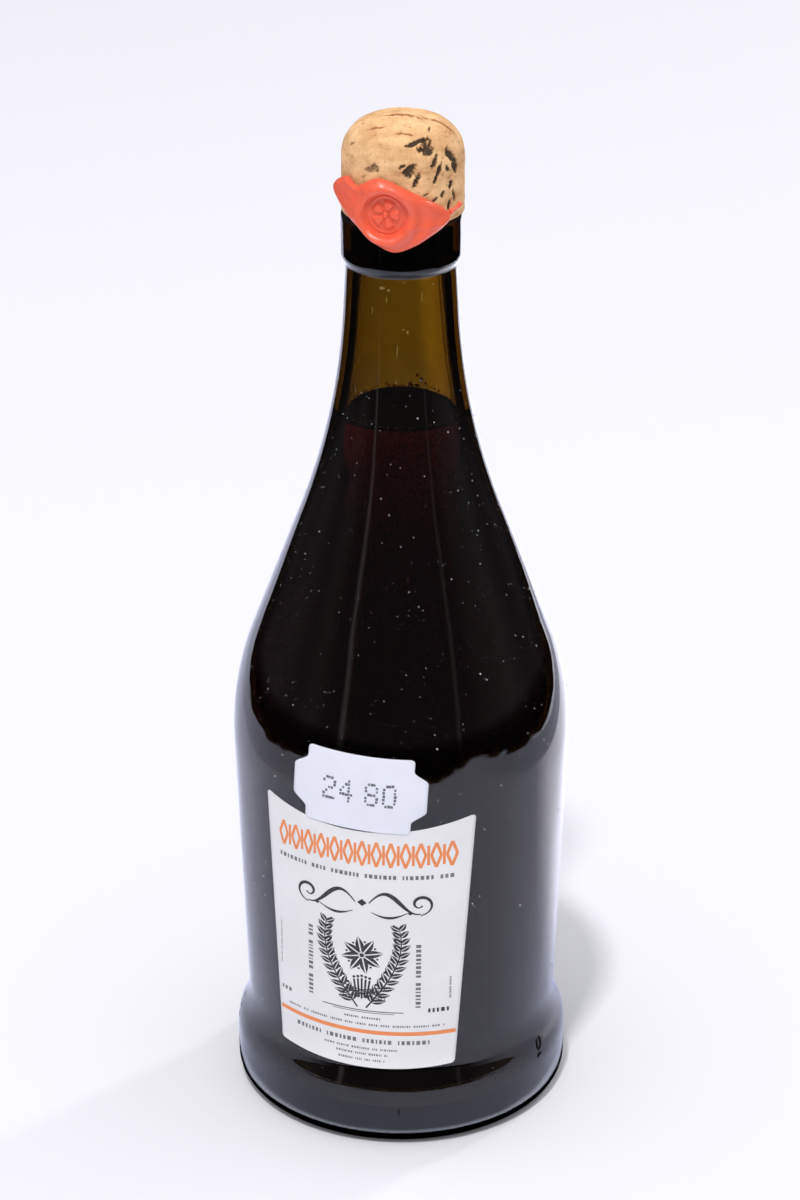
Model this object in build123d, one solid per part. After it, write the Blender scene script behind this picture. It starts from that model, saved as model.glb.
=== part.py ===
from build123d import *
import math
import os

# A half-litre vinegar bottle: flared foot, tapering body, long neck with a plain collar, a cork
# stopper with a rounded head, a blob of sealing wax pressed over collar and cork, a paper label
# and a price sticker. Millimetres, +Z up, origin at the centre of the foot; the label faces -Y.

# Glass, outside: radii where the straight stretches of the outline would meet, and their heights
foot_radius = 39.4
foot_height = 14.2
foot_round = 11.0
heel_round = 4.0
waist_radius = 36.5
waist_rise = 6.1
waist_round = 15.5
shoulder_radius = 39.5
body_rise = 82.2
shoulder_round = 69.0
neck_radius = 14.4
shoulder_rise = 66.5
neck_round = 157.0
neck_top_radius = 12.25
neck_rise = 36.6
collar_radius = 13.35
collar_height = 12.0
collar_foot = 2.2
lip_round = 1.2

# Glass, inside
wall = 3.05
base_thickness = 4.5
floor_round = 6.0
bore_radius = 9.25
throat_round = 39.0
mouth_overrun = 1.0
punt_depth = 3.0
punt_radius = 29.0

# Vinegar
fill_depth = 165.2
fill_clearance = 0.05

# Cork
cork_head_radius = 13.5
cork_head_shift = 0.35
cork_head_height = 21.6
cork_edge_round = 8.4
cork_dome = 0.9
cork_shaft_length = 13.0
cork_clearance = 0.05

# Sealing wax, seen from the direction it was pressed from: across, and up from the lip
wax_azimuth = -14.0
wax_thickness = 1.7
wax_clearance = 0.05
wax_edge = [
    (-13.6, 6.8),
    (-10.4, 9.7),
    (-7.6, 8.4),
    (-1.6, 10.9),
    (5.6, 8.2),
    (12.0, 3.8),
    (12.6, -0.4),
    (2.6, -5.6),
    (-5.6, -2.0),
    (-11.6, 3.2),
]
stamp_radius = 4.8
stamp_rise = 2.9
stamp_floor = 0.55

# Paper label, seen straight on
label_azimuth = -13.8
label_turn = -0.9
label_top_half = 24.2
label_bottom_half = 20.8
label_height = 65.8
label_sag = 3.4
label_belly = 0.8
label_corner = 0.8
label_lift = 0.3
label_thickness = 0.2
paper_clearance = 0.05

# Price sticker, seen straight on: a plaque that is wider across its middle
sticker_azimuth = -14.6
sticker_turn = -3.2
sticker_end_half = 12.2
sticker_mid_half = 15.4
sticker_height = 18.6
sticker_shoulder = 6.6
sticker_side = 3.4
sticker_lift = 0.4
sticker_thickness = 0.15

# Heights that follow
waist_z = foot_height + waist_rise
shoulder_z = waist_z + body_rise
neck_z = shoulder_z + shoulder_rise
collar_z = neck_z + neck_rise
lip_z = collar_z + collar_height
level_z = base_thickness + fill_depth
label_bottom_z = waist_z + label_lift
label_top_z = label_bottom_z + label_height
sticker_z = label_top_z - label_sag + sticker_lift + sticker_height / 2

# The outline of the glass from the foot up to the collar, and the round at each inner corner
glass_side = [
    (foot_radius, 0),
    (foot_radius, foot_height),
    (waist_radius, waist_z),
    (shoulder_radius, shoulder_z),
    (neck_radius, neck_z),
    (neck_top_radius, collar_z),
]
glass_rounds = [foot_round, waist_round, shoulder_round, neck_round]


def leg_direction(start, end):
    """Unit vector along one straight leg of an outline."""
    length = math.hypot(end[0] - start[0], end[1] - start[1])
    return (end[0] - start[0]) / length, (end[1] - start[1]) / length


def turn_between(before, after):
    """Signed angle from one leg to the next: positive turns towards the axis."""
    cross = before[0] * after[1] - before[1] * after[0]
    dot = before[0] * after[0] + before[1] * after[1]
    return math.atan2(cross, dot)


def moved_outline(points, rounds, distance):
    """The outline moved outwards by distance (inwards when negative), with its rounds to match."""
    legs = [leg_direction(start, end) for start, end in zip(points, points[1:])]
    ends = legs[:1] + legs + legs[-1:]
    moved = []
    for point, before, after in zip(points, ends, ends[1:]):
        half = turn_between(before, after) / 2
        side = (before[1] + after[1], -before[0] - after[0])
        reach = distance / math.cos(half) / math.hypot(*side)
        moved.append((point[0] + side[0] * reach, point[1] + side[1] * reach))
    turns = [turn_between(before, after) for before, after in zip(legs, legs[1:])]
    radii = [
        max(radius + math.copysign(distance, turn), 0.2)
        for radius, turn in zip(rounds, turns)
    ]
    return moved, radii


def rounded_outline(points, rounds):
    """A chain of straight legs with its corners rounded, each round no longer than its legs allow."""
    legs = [leg_direction(start, end) for start, end in zip(points, points[1:])]
    lengths = [math.dist(start, end) for start, end in zip(points, points[1:])]
    tangents = [
        radius * math.tan(abs(turn_between(before, after)) / 2)
        for radius, before, after in zip(rounds, legs, legs[1:])
    ]
    radii = []
    for place, radius in enumerate(rounds):
        needs = [tangents[place - 1] if place > 0 else 0, tangents[place]]
        needs_after = [tangents[place], tangents[place + 1] if place + 1 < len(tangents) else 0]
        share = min(
            lengths[place] / max(sum(needs), 1e-6),
            lengths[place + 1] / max(sum(needs_after), 1e-6),
        )
        radii.append(radius * min(1, 0.98 * share))
    return FilletPolyline(*points, radius=radii)


def turned(outline):
    """Solid turned about Z from an outline that runs upwards, closed along the axis."""
    start = outline @ 0
    end = outline @ 1
    closing = [(end.X, end.Y), (0, end.Y), (0, start.Y)]
    if start.X > 0:
        closing.append((start.X, start.Y))
    profile = make_face([*outline.edges(), *Polyline(*closing).edges()])
    return revolve(Plane.XZ * profile, Axis.Z)


def punt_ball(growth):
    """Ball whose top is the hollow under the foot, grown by the thickness above it."""
    radius = (punt_radius**2 + punt_depth**2) / (2 * punt_depth)
    return Pos(0, 0, punt_depth - radius) * Sphere(radius + growth)


def glass_skin(distance):
    """Solid inside the glass outline moved outwards by distance, up to the collar."""
    return turned(rounded_outline(*moved_outline(glass_side, glass_rounds, distance)))


def cavity(clearance):
    """The space inside the glass, kept clear of it all round, with a straight bore at the top."""
    side, rounds = moved_outline(glass_side, glass_rounds, -wall - clearance)
    floor_z = base_thickness + clearance
    bore = bore_radius - clearance
    points = [(0, floor_z), (side[0][0], floor_z), *side[1:-1], (bore, collar_z)]
    points.append((bore, lip_z + mouth_overrun))
    outline = rounded_outline(points, [floor_round, *rounds, throat_round])
    return turned(outline) - punt_ball(base_thickness + clearance)


def make_collar():
    """The ring of thicker glass round the mouth: a rounded lower shoulder and a round lip."""
    overhang = collar_radius - neck_top_radius
    swell = (overhang**2 + collar_foot**2) / (2 * overhang)
    shoulder = RadiusArc(
        (neck_top_radius, collar_z),
        (collar_radius, collar_z + collar_foot),
        -swell,
    )
    rest = Polyline(
        (collar_radius, collar_z + collar_foot),
        (collar_radius, lip_z),
        (0, lip_z),
        (0, collar_z),
        (neck_top_radius, collar_z),
    )
    ring = revolve(Plane.XZ * make_face([shoulder, *rest.edges()]), Axis.Z)
    return fillet(ring.edges().group_by(Axis.Z)[-1], lip_round)


def make_bottle():
    points = [(punt_radius, 0), *glass_side]
    outline = rounded_outline(points, [heel_round, *glass_rounds])
    return turned(outline) + make_collar() - punt_ball(0) - cavity(0)


def make_vinegar():
    below_level = Pos(0, 0, level_z / 2) * Cylinder(2 * foot_radius, level_z)
    return cavity(fill_clearance) & below_level


def make_cork():
    """A head with a rounded edge and a shallow dome, standing on the lip, and a shaft in the bore."""
    radius = cork_head_radius
    top_z = lip_z + cork_clearance + cork_head_height
    dome_z = top_z - cork_dome
    edge_z = dome_z - cork_edge_round
    dome_radius = radius - cork_edge_round
    outline = [
        Polyline((0, top_z), (0, lip_z + cork_clearance), (radius, lip_z + cork_clearance)),
        Line((radius, lip_z + cork_clearance), (radius, edge_z)),
        RadiusArc((radius, edge_z), (dome_radius, dome_z), -cork_edge_round),
        Spline((dome_radius, dome_z), (0, top_z), tangents=[(-1, 0.3), (-1, 0)]),
    ]
    edges = [edge for piece in outline for edge in piece.edges()]
    head = Pos(cork_head_shift, 0, 0) * revolve(Plane.XZ * make_face(edges), Axis.Z)
    shaft = Cylinder(
        bore_radius - cork_clearance,
        cork_shaft_length + cork_head_height / 2,
        align=(Align.CENTER, Align.CENTER, Align.MIN),
    )
    return head + Pos(0, 0, lip_z - cork_shaft_length) * shaft


def stamped_out(skin, drawing, azimuth, turn, centre_z):
    """The part of a skin that a drawing covers, seen square to the side at an azimuth from -Y."""
    sheet = Pos(0, centre_z, 0) * Rot(0, 0, turn) * drawing
    return skin & extrude(Rot(0, 0, azimuth) * (Plane.XZ * sheet), 2 * foot_radius)


def make_wax_seal():
    """Wax pressed over collar and cork, with the round flat that the stamp left."""
    tall = 3 * cork_head_height
    outside = Pos(0, 0, lip_z) * Cylinder(cork_head_radius + wax_thickness, tall)
    collar = Pos(0, 0, lip_z) * Cylinder(collar_radius + wax_clearance, tall)
    cork = Pos(cork_head_shift, 0, lip_z + tall / 2) * Cylinder(cork_head_radius + wax_clearance, tall)
    drawing = make_face(Spline(*wax_edge, periodic=True))
    seal = stamped_out(outside - collar - cork, drawing, wax_azimuth, 0, lip_z)
    stamp = extrude(Circle(stamp_radius), 2 * cork_head_radius)
    stamp = Pos(0, lip_z + stamp_rise, cork_head_radius + stamp_floor) * stamp
    return seal - Rot(0, 0, wax_azimuth) * (Plane.XZ * stamp)


def make_label():
    skin = glass_skin(paper_clearance + label_thickness) - glass_skin(paper_clearance)
    half = label_height / 2
    sides = [(-1, 1), (1, 1), (1, -1), (-1, -1)]
    corners = [
        (sign * (label_top_half if end > 0 else label_bottom_half), end * half)
        for sign, end in sides
    ]
    top = ThreePointArc(corners[0], (0, half - label_sag), corners[1])
    bottom = ThreePointArc(corners[2], (0, -half - label_belly), corners[3])
    drawing = make_face([top, Line(corners[1], corners[2]), bottom, Line(corners[3], corners[0])])
    drawing = fillet(drawing.vertices(), label_corner)
    centre_z = (label_bottom_z + label_top_z) / 2
    return stamped_out(skin, drawing, label_azimuth, label_turn, centre_z)


def make_sticker():
    lift = 2 * paper_clearance + label_thickness
    skin = glass_skin(lift + sticker_thickness) - glass_skin(lift)
    half = sticker_height / 2
    edge = sticker_end_half
    middle = sticker_mid_half
    upright = [(0, 1), (0, 1)]
    side = [
        Line((edge, -half), (edge, -sticker_shoulder)),
        Spline((edge, -sticker_shoulder), (middle, -sticker_side), tangents=upright),
        Line((middle, -sticker_side), (middle, sticker_side)),
        Spline((middle, sticker_side), (edge, sticker_shoulder), tangents=upright),
        Line((edge, sticker_shoulder), (edge, half)),
    ]
    other = [mirror(piece, Plane.YZ) for piece in side]
    ends = [Line((-edge, half), (edge, half)), Line((-edge, -half), (edge, -half))]
    drawing = make_face([*side, *other, *ends])
    return stamped_out(skin, drawing, sticker_azimuth, sticker_turn, sticker_z)


os.makedirs("parts", exist_ok=True)
export_step(make_bottle(), "parts/bottle.step")
export_step(make_vinegar(), "parts/vinegar.step")
export_step(make_cork(), "parts/cork.step")
export_step(make_wax_seal(), "parts/wax_seal.step")
export_step(make_label(), "parts/label.step")
export_step(make_sticker(), "parts/price_sticker.step")
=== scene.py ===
import math

import bmesh
import bpy
import numpy as np
from bpy.props import FloatProperty, FloatVectorProperty, IntProperty, PointerProperty
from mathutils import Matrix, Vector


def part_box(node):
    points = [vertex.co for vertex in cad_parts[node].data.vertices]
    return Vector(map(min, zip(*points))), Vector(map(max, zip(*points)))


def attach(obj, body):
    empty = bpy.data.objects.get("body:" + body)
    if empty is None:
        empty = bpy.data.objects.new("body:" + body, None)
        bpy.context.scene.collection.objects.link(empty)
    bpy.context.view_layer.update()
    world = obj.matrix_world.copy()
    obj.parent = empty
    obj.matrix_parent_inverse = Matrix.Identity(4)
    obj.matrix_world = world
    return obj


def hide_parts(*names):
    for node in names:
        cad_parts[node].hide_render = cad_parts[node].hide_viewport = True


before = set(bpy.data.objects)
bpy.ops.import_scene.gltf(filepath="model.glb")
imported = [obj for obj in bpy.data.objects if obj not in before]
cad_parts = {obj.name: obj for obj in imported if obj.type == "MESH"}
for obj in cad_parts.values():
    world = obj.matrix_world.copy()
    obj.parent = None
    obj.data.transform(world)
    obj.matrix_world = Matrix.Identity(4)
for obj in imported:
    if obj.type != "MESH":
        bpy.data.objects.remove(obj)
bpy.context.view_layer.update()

bl_info = {
    "name": "Corked Vinegar Bottle",
    "version": (1, 0, 0),
    "blender": (4, 5, 0),
    "location": "View3D > Sidebar > Bottle",
    "description": "Builds a corked vinegar bottle with its cork, wax, label and price sticker",
    "category": "Object",
}

MM = 0.001
FOOT_RADIUS = min(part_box("bottle")[1][:2]) / MM
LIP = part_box("bottle")[1].z / MM
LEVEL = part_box("vinegar")[1].z / MM
CORK_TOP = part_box("cork")[1].z / MM
CORK_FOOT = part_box("cork")[0].z / MM
LABEL_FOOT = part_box("label")[0].z / MM
STICKER_MIDDLE = sum(corner.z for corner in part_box("price_sticker")) / 2 / MM

# Points round the turned surfaces of glass and vinegar, and how near two points are merged
SEGMENTS = 132
MERGE = 1e-6

# Colours of the small matter, linear
# Mould marks: near black, painted shade in place of the raised glass's dark look
MOULD_MARK_PAINTED_DARK = (0.006, 0.005, 0.007)
# Neck specks: pale yellow, painted glints
NECK_GLINT_PAINT = (0.24, 0.17, 0.045)
BUBBLE_SKIN = (0.75, 0.70, 0.45)
TIDE_LINE = (0.42, 0.13, 0.02)
STAMP_INK = (0.12, 0.13, 0.16)
DUST = (0.62, 0.62, 0.66)
DUST_SPECKS = 1500

# Layers on the glass, millimetres: the sheets' undersides, and the ink over its paper
LABEL_LIFT = 0.06
STICKER_LIFT = 0.24
INK_LIFT = 0.025


# ---------------------------------------------------------------- properties


def length(name, description, value):
    """Length property whose default is given in millimetres."""
    return FloatProperty(
        name=name, description=description, default=value * MM, unit="LENGTH", precision=5
    )


def colour(name, description, value):
    """Colour property, linear."""
    return FloatVectorProperty(
        name=name, description=description, default=value, size=3, subtype="COLOR", min=0, max=1
    )


def number(name, description, value):
    """Property that is a bare number: a strength, a power or a focal length."""
    return FloatProperty(name=name, description=description, default=value)


def angle(name, description, value):
    """Angle property whose default is given in degrees."""
    return FloatProperty(
        name=name, description=description, default=math.radians(value), subtype="ANGLE"
    )


class GlassSizes(bpy.types.PropertyGroup):
    """Outline of the glass: where its straight stretches meet, and the rounds between them."""

    foot_radius: length("Foot radius", "Outside radius of the flared foot", FOOT_RADIUS)
    foot_height: length("Foot height", "Height where the foot turns in", 14.2)
    foot_round: length("Foot round", "Radius of the foot's upper edge", 11.0)
    heel_round: length("Heel round", "Radius of the foot's lower edge", 4.0)
    waist_radius: length("Waist radius", "Radius at the waist above the foot", 36.5)
    waist_height: length("Waist height", "Height of the waist", 20.3)
    waist_round: length("Waist round", "Radius of the hollow at the waist", 15.5)
    shoulder_radius: length("Shoulder radius", "Radius where the body meets the shoulder", 39.5)
    shoulder_height: length("Shoulder height", "Height where the body meets the shoulder", 102.5)
    shoulder_round: length("Shoulder round", "Radius of the shoulder", 69.0)
    neck_radius: length("Neck radius", "Radius where the shoulder meets the neck", 14.4)
    neck_height: length("Neck height", "Height where the shoulder meets the neck", 169.0)
    neck_round: length("Neck round", "Radius of the sweep into the neck", 157.0)
    neck_top_radius: length("Neck top radius", "Radius of the neck under the collar", 12.25)
    collar_radius: length("Collar radius", "Outside radius of the collar", 13.35)
    collar_height: length("Collar height", "Height of the collar", 12.0)
    collar_foot: length("Collar foot", "Height of the collar's rounded lower shoulder", 2.2)
    lip_round: length("Lip round", "Radius of the lip's edge", 1.2)
    wall: length("Wall", "Thickness of the glass", 3.05)
    base: length("Base", "Thickness of the glass under the vinegar", 4.5)
    floor_round: length("Floor round", "Radius where the inside wall meets the floor", 6.0)
    bore_radius: length("Bore radius", "Radius of the mouth", 9.25)
    punt_radius: length("Punt radius", "Radius of the hollow under the foot", 29.0)
    punt_depth: length("Punt depth", "Depth of the hollow under the foot", 3.0)
    tint: colour("Tint", "Colour that the glass lets through", (0.660, 0.545, 0.02))
    density: number("Density", "How strongly the glass colours", 1100)


class VinegarLook(bpy.types.PropertyGroup):
    """The vinegar, its meniscus and what clings to the glass at its level."""

    reach: length("Reach", "How far the vinegar's side reaches into the glass", 0.08)
    meniscus: length("Meniscus", "How far the surface climbs the glass", 1.1)
    tint: colour("Tint", "Colour that the vinegar lets through", (0.805, 0.10, 0.16))
    density: number("Density", "How strongly the vinegar colours", 330)
    bubbles: IntProperty(name="Bubbles", description="Bubbles along the surface's rim", default=46)


class CorkSizes(bpy.types.PropertyGroup):
    """The cork: a head with a rounded edge over a straight shaft."""

    radius: length("Head radius", "Radius of the head", 13.5)
    shift: length("Shift", "How far the head sits off the bore's axis", 0.35)
    edge_round: length("Edge round", "Radius of the head's upper edge", 8.4)
    dome: length("Dome", "Rise of the top over its edge", 0.9)
    clearance: length("Clearance", "Gap between cork and glass", 0.05)
    light: colour("Light", "Pale cork", (0.94, 0.60, 0.31))
    deep: colour("Deep", "Darker cork", (0.66, 0.35, 0.155))
    pale: colour("Pale", "Palest grains", (0.97, 0.70, 0.43))
    line: colour("Line", "Growth lines", (0.50, 0.20, 0.09))
    streak: colour("Streak", "Reddish streaks on the top", (0.36, 0.12, 0.045))
    speck: colour("Speck", "Small brown specks", (0.24, 0.12, 0.06))
    halo: colour("Halo", "Brown round a pit", (0.30, 0.145, 0.06))
    pit: colour("Pit", "Inside of a pit", (0.085, 0.054, 0.032))
    # Shaft below the lip: the vinegar's stain, and painted shade for the dark bore
    stain_and_shade: colour("Soaked", "Shaft that the vinegar stained", (0.05, 0.022, 0.014))


class WaxSizes(bpy.types.PropertyGroup):
    """The blob of sealing wax and the round flat that the stamp left."""

    azimuth: angle("Azimuth", "Side from which it was stamped, from -Y towards +X", -14.0)
    thickness: length("Thickness", "Thickness of the blob", 1.5)
    edge: length("Edge", "Width of its rounded edge", 1.7)
    stamp_radius: length("Stamp radius", "Radius of the stamped flat", 4.7)
    stamp_rise: length("Stamp rise", "Height of the stamp's centre over the lip", 2.9)
    stamp_floor: length("Stamp floor", "Wax left under the stamp's centre", 0.26)
    roll: length("Roll", "Height of the roll round the stamp", 1.10)
    fold: length("Fold", "Height of the fold outside the roll", 0.55)
    curl: length("Curl", "How far the tip at the left lifts", 0.7)
    relief: length("Relief", "Height of the stamp's rosette", 0.50)
    colour: colour("Colour", "Colour of the wax", (0.96, 0.135, 0.065))
    worn: colour("Worn", "Colour where it was handled", (0.92, 0.145, 0.085))
    dusted: colour("Dusted", "Colour of dust in the wax", (0.95, 0.42, 0.34))


class PaperSizes(bpy.types.PropertyGroup):
    """The label and the price sticker, seen straight on."""

    azimuth: angle("Label azimuth", "Side that the label faces, from -Y towards +X", -13.8)
    turn: angle("Label turn", "How far the label is turned, anticlockwise", -0.9)
    top_half: length("Top half width", "Half the label's width along its top edge", 24.2)
    foot_half: length("Foot half width", "Half the label's width along its bottom edge", 20.8)
    height: length("Height", "Height of the label's sides", 65.8)
    sag: length("Sag", "Dip of the label's top edge", 3.4)
    belly: length("Belly", "Bulge of the label's bottom edge", 0.8)
    corner: length("Corner", "Radius of the label's corners", 0.8)
    thickness: length("Thickness", "Thickness of the paper", 0.12)
    sticker_azimuth: angle("Sticker azimuth", "Side that the sticker faces", -14.6)
    sticker_turn: angle("Sticker turn", "How far the sticker is turned", -3.2)
    sticker_end_half: length("Sticker end", "Half its width at top and bottom", 12.2)
    sticker_mid_half: length("Sticker middle", "Half its width across the middle", 15.4)
    sticker_height: length("Sticker height", "Height of the sticker", 18.6)
    sticker_shoulder: length("Sticker shoulder", "Where its sides start to widen", 6.6)
    sticker_side: length("Sticker side", "Where its sides are widest", 3.4)
    white: colour("Label white", "Colour of the label's paper", (0.87, 0.865, 0.885))
    sticker_white: colour("Sticker white", "Colour of the sticker's paper", (0.85, 0.87, 0.97))
    orange: colour("Orange", "Orange ink", (0.90, 0.28, 0.085))
    black: colour("Black", "Black ink", (0.025, 0.022, 0.024))
    grey: colour("Grey", "Grey ink", (0.16, 0.15, 0.16))


class StageLook(bpy.types.PropertyGroup):
    """Camera, lamps, floor and the surroundings that the glass mirrors."""

    elevation: angle("Elevation", "How far the camera looks down", 25.0)
    distance: length("Distance", "From the camera to what it looks at", 827.6)
    aim_height: length("Aim height", "Height that the camera looks at", 122.8)
    aim_side: length("Aim side", "Sideways place that the camera looks at", -0.3)
    lens: number("Lens", "Focal length in millimetres", 108.0)
    sheet_front: length("Sheet front", "How far the pale sheet reaches towards the camera", 300.0)
    sheet_side: length("Sheet side", "How far the pale sheet reaches to each side", 325.0)
    sheet_edge: length("Sheet edge", "Softness of the sheet's edge in mirrored light", 12.0)
    card_side: length("Card side", "How far to each side the low cards stand", 215.0)
    card_height: length("Card height", "Height of the low cards", 34.0)
    card_light: number("Card light", "Brightness of the low cards", 0.9)
    pale: colour("Pale", "Colour of floor and backdrop", (0.90, 0.895, 0.955))
    floor_share: number("Floor share", "Floor's colour as a share of the backdrop's", 0.945)
    mirrored: colour("Mirrored", "Colour that the mirrored sheet adds", (0.03, 0.075, 0.28))
    # Painted for mirrored rays only, in the floor: shade under the foot's edge, a highlight line,
    # a brighter field
    foot_shade: length("Foot shade", "How far the shade under the foot's edge reaches", 41.5)
    gleam: number("Gleam", "Light that the foot's edge mirrors", 3.2)
    flare: number("Flare", "Light mirrored from the floor behind at the right", 1.1)
    sky: number("Sky", "Strength of the soft light from above", 0.80)
    key: number("Key", "Power of the steep lamp at front left", 30.5)
    back: number("Back", "Power of the lamp at back right", 10.0)
    room: colour("Room", "Colour of the unlit room that the glass mirrors", (0.078, 0.070, 0.078))


class BottleSettings(bpy.types.PropertyGroup):
    """Everything that the operators read."""

    glass: PointerProperty(type=GlassSizes)
    vinegar: PointerProperty(type=VinegarLook)
    cork: PointerProperty(type=CorkSizes)
    wax: PointerProperty(type=WaxSizes)
    paper: PointerProperty(type=PaperSizes)
    stage: PointerProperty(type=StageLook)


def settings():
    return bpy.context.scene.bottle


# ---------------------------------------------------------------- geometry


def rounded_chain(corners, rounds):
    """Chain of straight legs with tangent arcs at its inner corners.

    An arc's centre lies on the corner's bisector at radius / sin(half the corner's angle), and
    its ends lie on the legs at radius / tan(half the angle).
    """
    corners = np.asarray(corners, float)
    pieces = [corners[:1]]
    for before, corner, after, radius in zip(corners, corners[1:], corners[2:], rounds):
        back = (before - corner) / np.linalg.norm(before - corner)
        ahead = (after - corner) / np.linalg.norm(after - corner)
        half = math.acos(np.clip(back @ ahead, -1, 1)) / 2
        middle = (back + ahead) / np.linalg.norm(back + ahead)
        centre = corner + middle * radius / math.sin(half)
        start = corner + back * radius / math.tan(half) - centre
        end = corner + ahead * radius / math.tan(half) - centre
        turn = math.atan2(start[0] * end[1] - start[1] * end[0], start @ end)
        angles = math.atan2(start[1], start[0]) + turn * np.linspace(0, 1, 40)
        pieces.append(centre + radius * np.stack([np.cos(angles), np.sin(angles)], 1))
    pieces.append(corners[-1:])
    return np.concatenate(pieces)


def resampled(points, step):
    """The same polyline with evenly spaced points, about one step apart."""
    along = np.r_[0, np.cumsum(np.linalg.norm(np.diff(points, axis=0), axis=1))]
    places = np.linspace(0, along[-1], max(int(round(along[-1] / step)), 1) + 1)
    return np.stack([np.interp(places, along, points[:, k]) for k in range(points.shape[1])], 1)


def outline_normals(points):
    """Unit normals of a half outline, to the right of its direction: the tangent turned by -90."""
    tangent = np.gradient(points, axis=0)
    tangent /= np.linalg.norm(tangent, axis=1)[:, None] + 1e-12
    return np.stack([tangent[:, 1], -tangent[:, 0]], 1)


def glass_side(step=0.8 * MM):
    """Half outline (radius, height) of the glass from the foot's heel up to the collar."""
    g = settings().glass
    corners = [
        (g.punt_radius, 0),
        (g.foot_radius, 0),
        (g.foot_radius, g.foot_height),
        (g.waist_radius, g.waist_height),
        (g.shoulder_radius, g.shoulder_height),
        (g.neck_radius, g.neck_height),
        (g.neck_top_radius, LIP * MM - g.collar_height),
    ]
    rounds = [g.heel_round, g.foot_round, g.waist_round, g.shoulder_round, g.neck_round]
    return resampled(rounded_chain(corners, rounds), step)


def glass_radius(height):
    """Outside radius of the glass, collar included, at each height."""
    g = settings().glass
    side = glass_side()
    side = side[side[:, 1] > g.heel_round]
    foot = collar_foot()
    rise = np.r_[side[:, 1], foot[1:, 1], LIP * MM]
    reach = np.r_[side[:, 0], foot[1:, 0], g.collar_radius]
    return np.where(height < 0, g.foot_radius, np.interp(height, rise, reach))


def collar_foot():
    """The collar's lower shoulder: an arc from the neck that ends upright at the collar's side."""
    g = settings().glass
    overhang = g.collar_radius - g.neck_top_radius
    swell = (overhang**2 + g.collar_foot**2) / (2 * overhang)
    rise = np.linspace(0, g.collar_foot, 9)
    reach = g.collar_radius - swell + np.sqrt(swell**2 - (g.collar_foot - rise) ** 2)
    return np.stack([reach, LIP * MM - g.collar_height + rise], 1)


def inside_side(depth, step=1.2 * MM):
    """Half outline of a surface depth inside the glass, from the floor's rim up to the collar."""
    g = settings().glass
    side = glass_side(0.4 * MM)
    moved = side - depth * outline_normals(side)
    moved = moved[moved[:, 1] > g.base + g.floor_round]
    moved = moved[np.r_[True, np.diff(moved[:, 1]) > 0]]
    moved = moved[moved[:, 1] < LIP * MM - g.collar_height]
    floor = [(0, g.base), (moved[0, 0], g.base), tuple(moved[0])]
    rim = rounded_chain(floor, [g.floor_round * 0.98])
    return resampled(np.concatenate([rim[1:-1], moved]), step)


def around(outline, segments):
    """Grid of points of an outline turned about Z: x = r sin a, y = -r cos a, z = height."""
    turn = np.linspace(0, 2 * np.pi, segments, endpoint=False)
    reach = outline[:, None, 0]
    return np.stack(
        [
            reach * np.sin(turn)[None],
            -reach * np.cos(turn)[None],
            outline[:, None, 1] + 0 * turn[None],
        ],
        -1,
    )


def grid_faces(rows, columns, closed):
    """Quads of a grid of points; closed joins its last column to its first."""
    index = np.arange(rows * columns).reshape(rows, columns)
    right = np.roll(index, -1, axis=1) if closed else index[:, 1:]
    left = index if closed else index[:, :-1]
    return np.stack([left[:-1], right[:-1], right[1:], left[1:]], -1).reshape(-1, 4)


def volume_of(points, faces):
    """Signed volume of a closed quad mesh: the sum of its triangles' cones to the origin."""
    a, b, c, d = (points[faces[:, k]] for k in range(4))
    first = np.einsum("ij,ij->i", a, np.cross(b, c)).sum()
    return first + np.einsum("ij,ij->i", a, np.cross(c, d)).sum()


def make_object(name, points, faces, material, solid=False, merge=0.0, layers=None):
    """Mesh object from point and quad arrays. A closed one is turned to face outwards.

    Layers are amounts by point, kept under their names for the material to read.
    """
    points = np.asarray(points, float).reshape(-1, 3)
    if solid and volume_of(points, faces) < 0:
        faces = faces[:, ::-1]
    mesh = bpy.data.meshes.new(name)
    mesh.from_pydata(points.tolist(), [], faces.tolist())
    for layer, amounts in (layers or {}).items():
        attribute = mesh.attributes.new(layer, "FLOAT", "POINT")
        attribute.data.foreach_set("value", amounts.astype(np.float32).ravel())
    if merge:
        work = bmesh.new()
        work.from_mesh(mesh)
        bmesh.ops.remove_doubles(work, verts=work.verts, dist=merge)
        bmesh.ops.dissolve_degenerate(work, dist=merge / 10, edges=work.edges)
        work.to_mesh(mesh)
        work.free()
    mesh.shade_smooth()
    mesh.materials.append(material)
    obj = bpy.data.objects.new(name, mesh)
    bpy.context.scene.collection.objects.link(obj)
    return obj


def joined(parts):
    """Several (points, faces) pairs as one pair, each part's faces counted on from the last's."""
    counts = np.cumsum([0] + [len(points) for points, _ in parts])
    points = np.concatenate([points for points, _ in parts])
    faces = np.concatenate([faces + start for (_, faces), start in zip(parts, counts)])
    return points, faces


def ball(centre, radius, squash=(1, 1, 1), rows=7, columns=10):
    """Small ball: radius times (sin t sin a, -sin t cos a, cos t) about its centre."""
    tilt = np.linspace(0, np.pi, rows)[:, None]
    turn = np.linspace(0, 2 * np.pi, columns, endpoint=False)[None]
    level = np.sin(tilt)
    rise = np.cos(tilt) + 0 * turn
    shape = np.stack([level * np.sin(turn), -level * np.cos(turn), rise], -1)
    points = np.asarray(centre) + radius * shape * np.asarray(squash)
    return points.reshape(-1, 3), grid_faces(rows, columns, True)


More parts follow.
